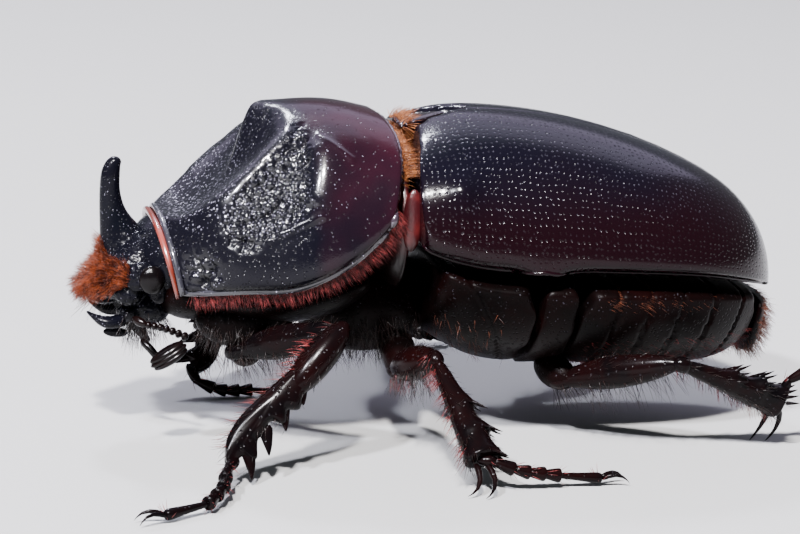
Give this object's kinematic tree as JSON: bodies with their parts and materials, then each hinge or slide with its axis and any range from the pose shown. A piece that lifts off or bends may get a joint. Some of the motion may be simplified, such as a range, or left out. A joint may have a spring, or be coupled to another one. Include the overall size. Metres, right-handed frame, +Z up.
{
  "type": "rhinoceros beetle",
  "caption": "Life-size still model of a horned rhinoceros beetle standing on its legs, with its shell plates, wing cases, head, horn, feelers and legs as separate pieces.",
  "frame": {"origin": "on the floor, under the middle of the animal's box", "axes": "+Z up, the head points to -X and the beetle's left side faces -Y"},
  "size_m": [0.0496, 0.039, 0.0199],
  "materials": {
    "cuticle": "polished near-black horn-like shell, finely pitted, wrinkled beside the hollow",
    "wing_case": "glossy black-brown shell with a red-brown depth and rows of fine pits",
    "horn": "blue-black shell, satin, finely pitted",
    "eye": "glossy black",
    "underside": "dark red-brown shell with patches of golden-red hair",
    "antenna": "dark brown, glossy",
    "leg": "dark red-brown to black shell, glossy, with bristles",
    "hair": "orange-red to golden hair"
  },
  "bodies": {
    "root": {"abdomen": "underside", "antenna_club_left": "antenna", "antenna_club_right": "antenna", "antenna_left": "antenna", "antenna_right": "antenna", "elytron_left": "wing_case", "elytron_right": "wing_case", "eye_left": "eye", "eye_right": "eye", "fore_coxa_left": "underside", "fore_coxa_right": "underside", "fore_left_claws": "leg", "fore_left_femur": "leg", "fore_left_tarsus": "leg", "fore_left_tibia": "leg", "fore_right_claws": "leg", "fore_right_femur": "leg", "fore_right_tarsus": "leg", "fore_right_tibia": "leg", "head": "cuticle", "hind_coxa_left": "underside", "hind_coxa_right": "underside", "hind_left_claws": "leg", "hind_left_femur": "leg", "hind_left_spurs": "leg", "hind_left_tarsus": "leg", "hind_left_tibia": "leg", "hind_right_claws": "leg", "hind_right_femur": "leg", "hind_right_spurs": "leg", "hind_right_tarsus": "leg", "hind_right_tibia": "leg", "horn": "horn", "mandible_left": "horn", "mandible_right": "horn", "mesothorax": "underside", "metathorax": "underside", "mid_coxa_left": "underside", "mid_coxa_right": "underside", "mid_left_claws": "leg", "mid_left_femur": "leg", "mid_left_spurs": "leg", "mid_left_tarsus": "leg", "mid_left_tibia": "leg", "mid_right_claws": "leg", "mid_right_femur": "leg", "mid_right_spurs": "leg", "mid_right_tarsus": "leg", "mid_right_tibia": "leg", "mouthparts": "leg", "palp_left": "leg", "palp_right": "leg", "pronotum": "cuticle", "prosternum": "underside", "pygidium": "underside", "scutellum": "cuticle"}
  },
  "joints": []
}
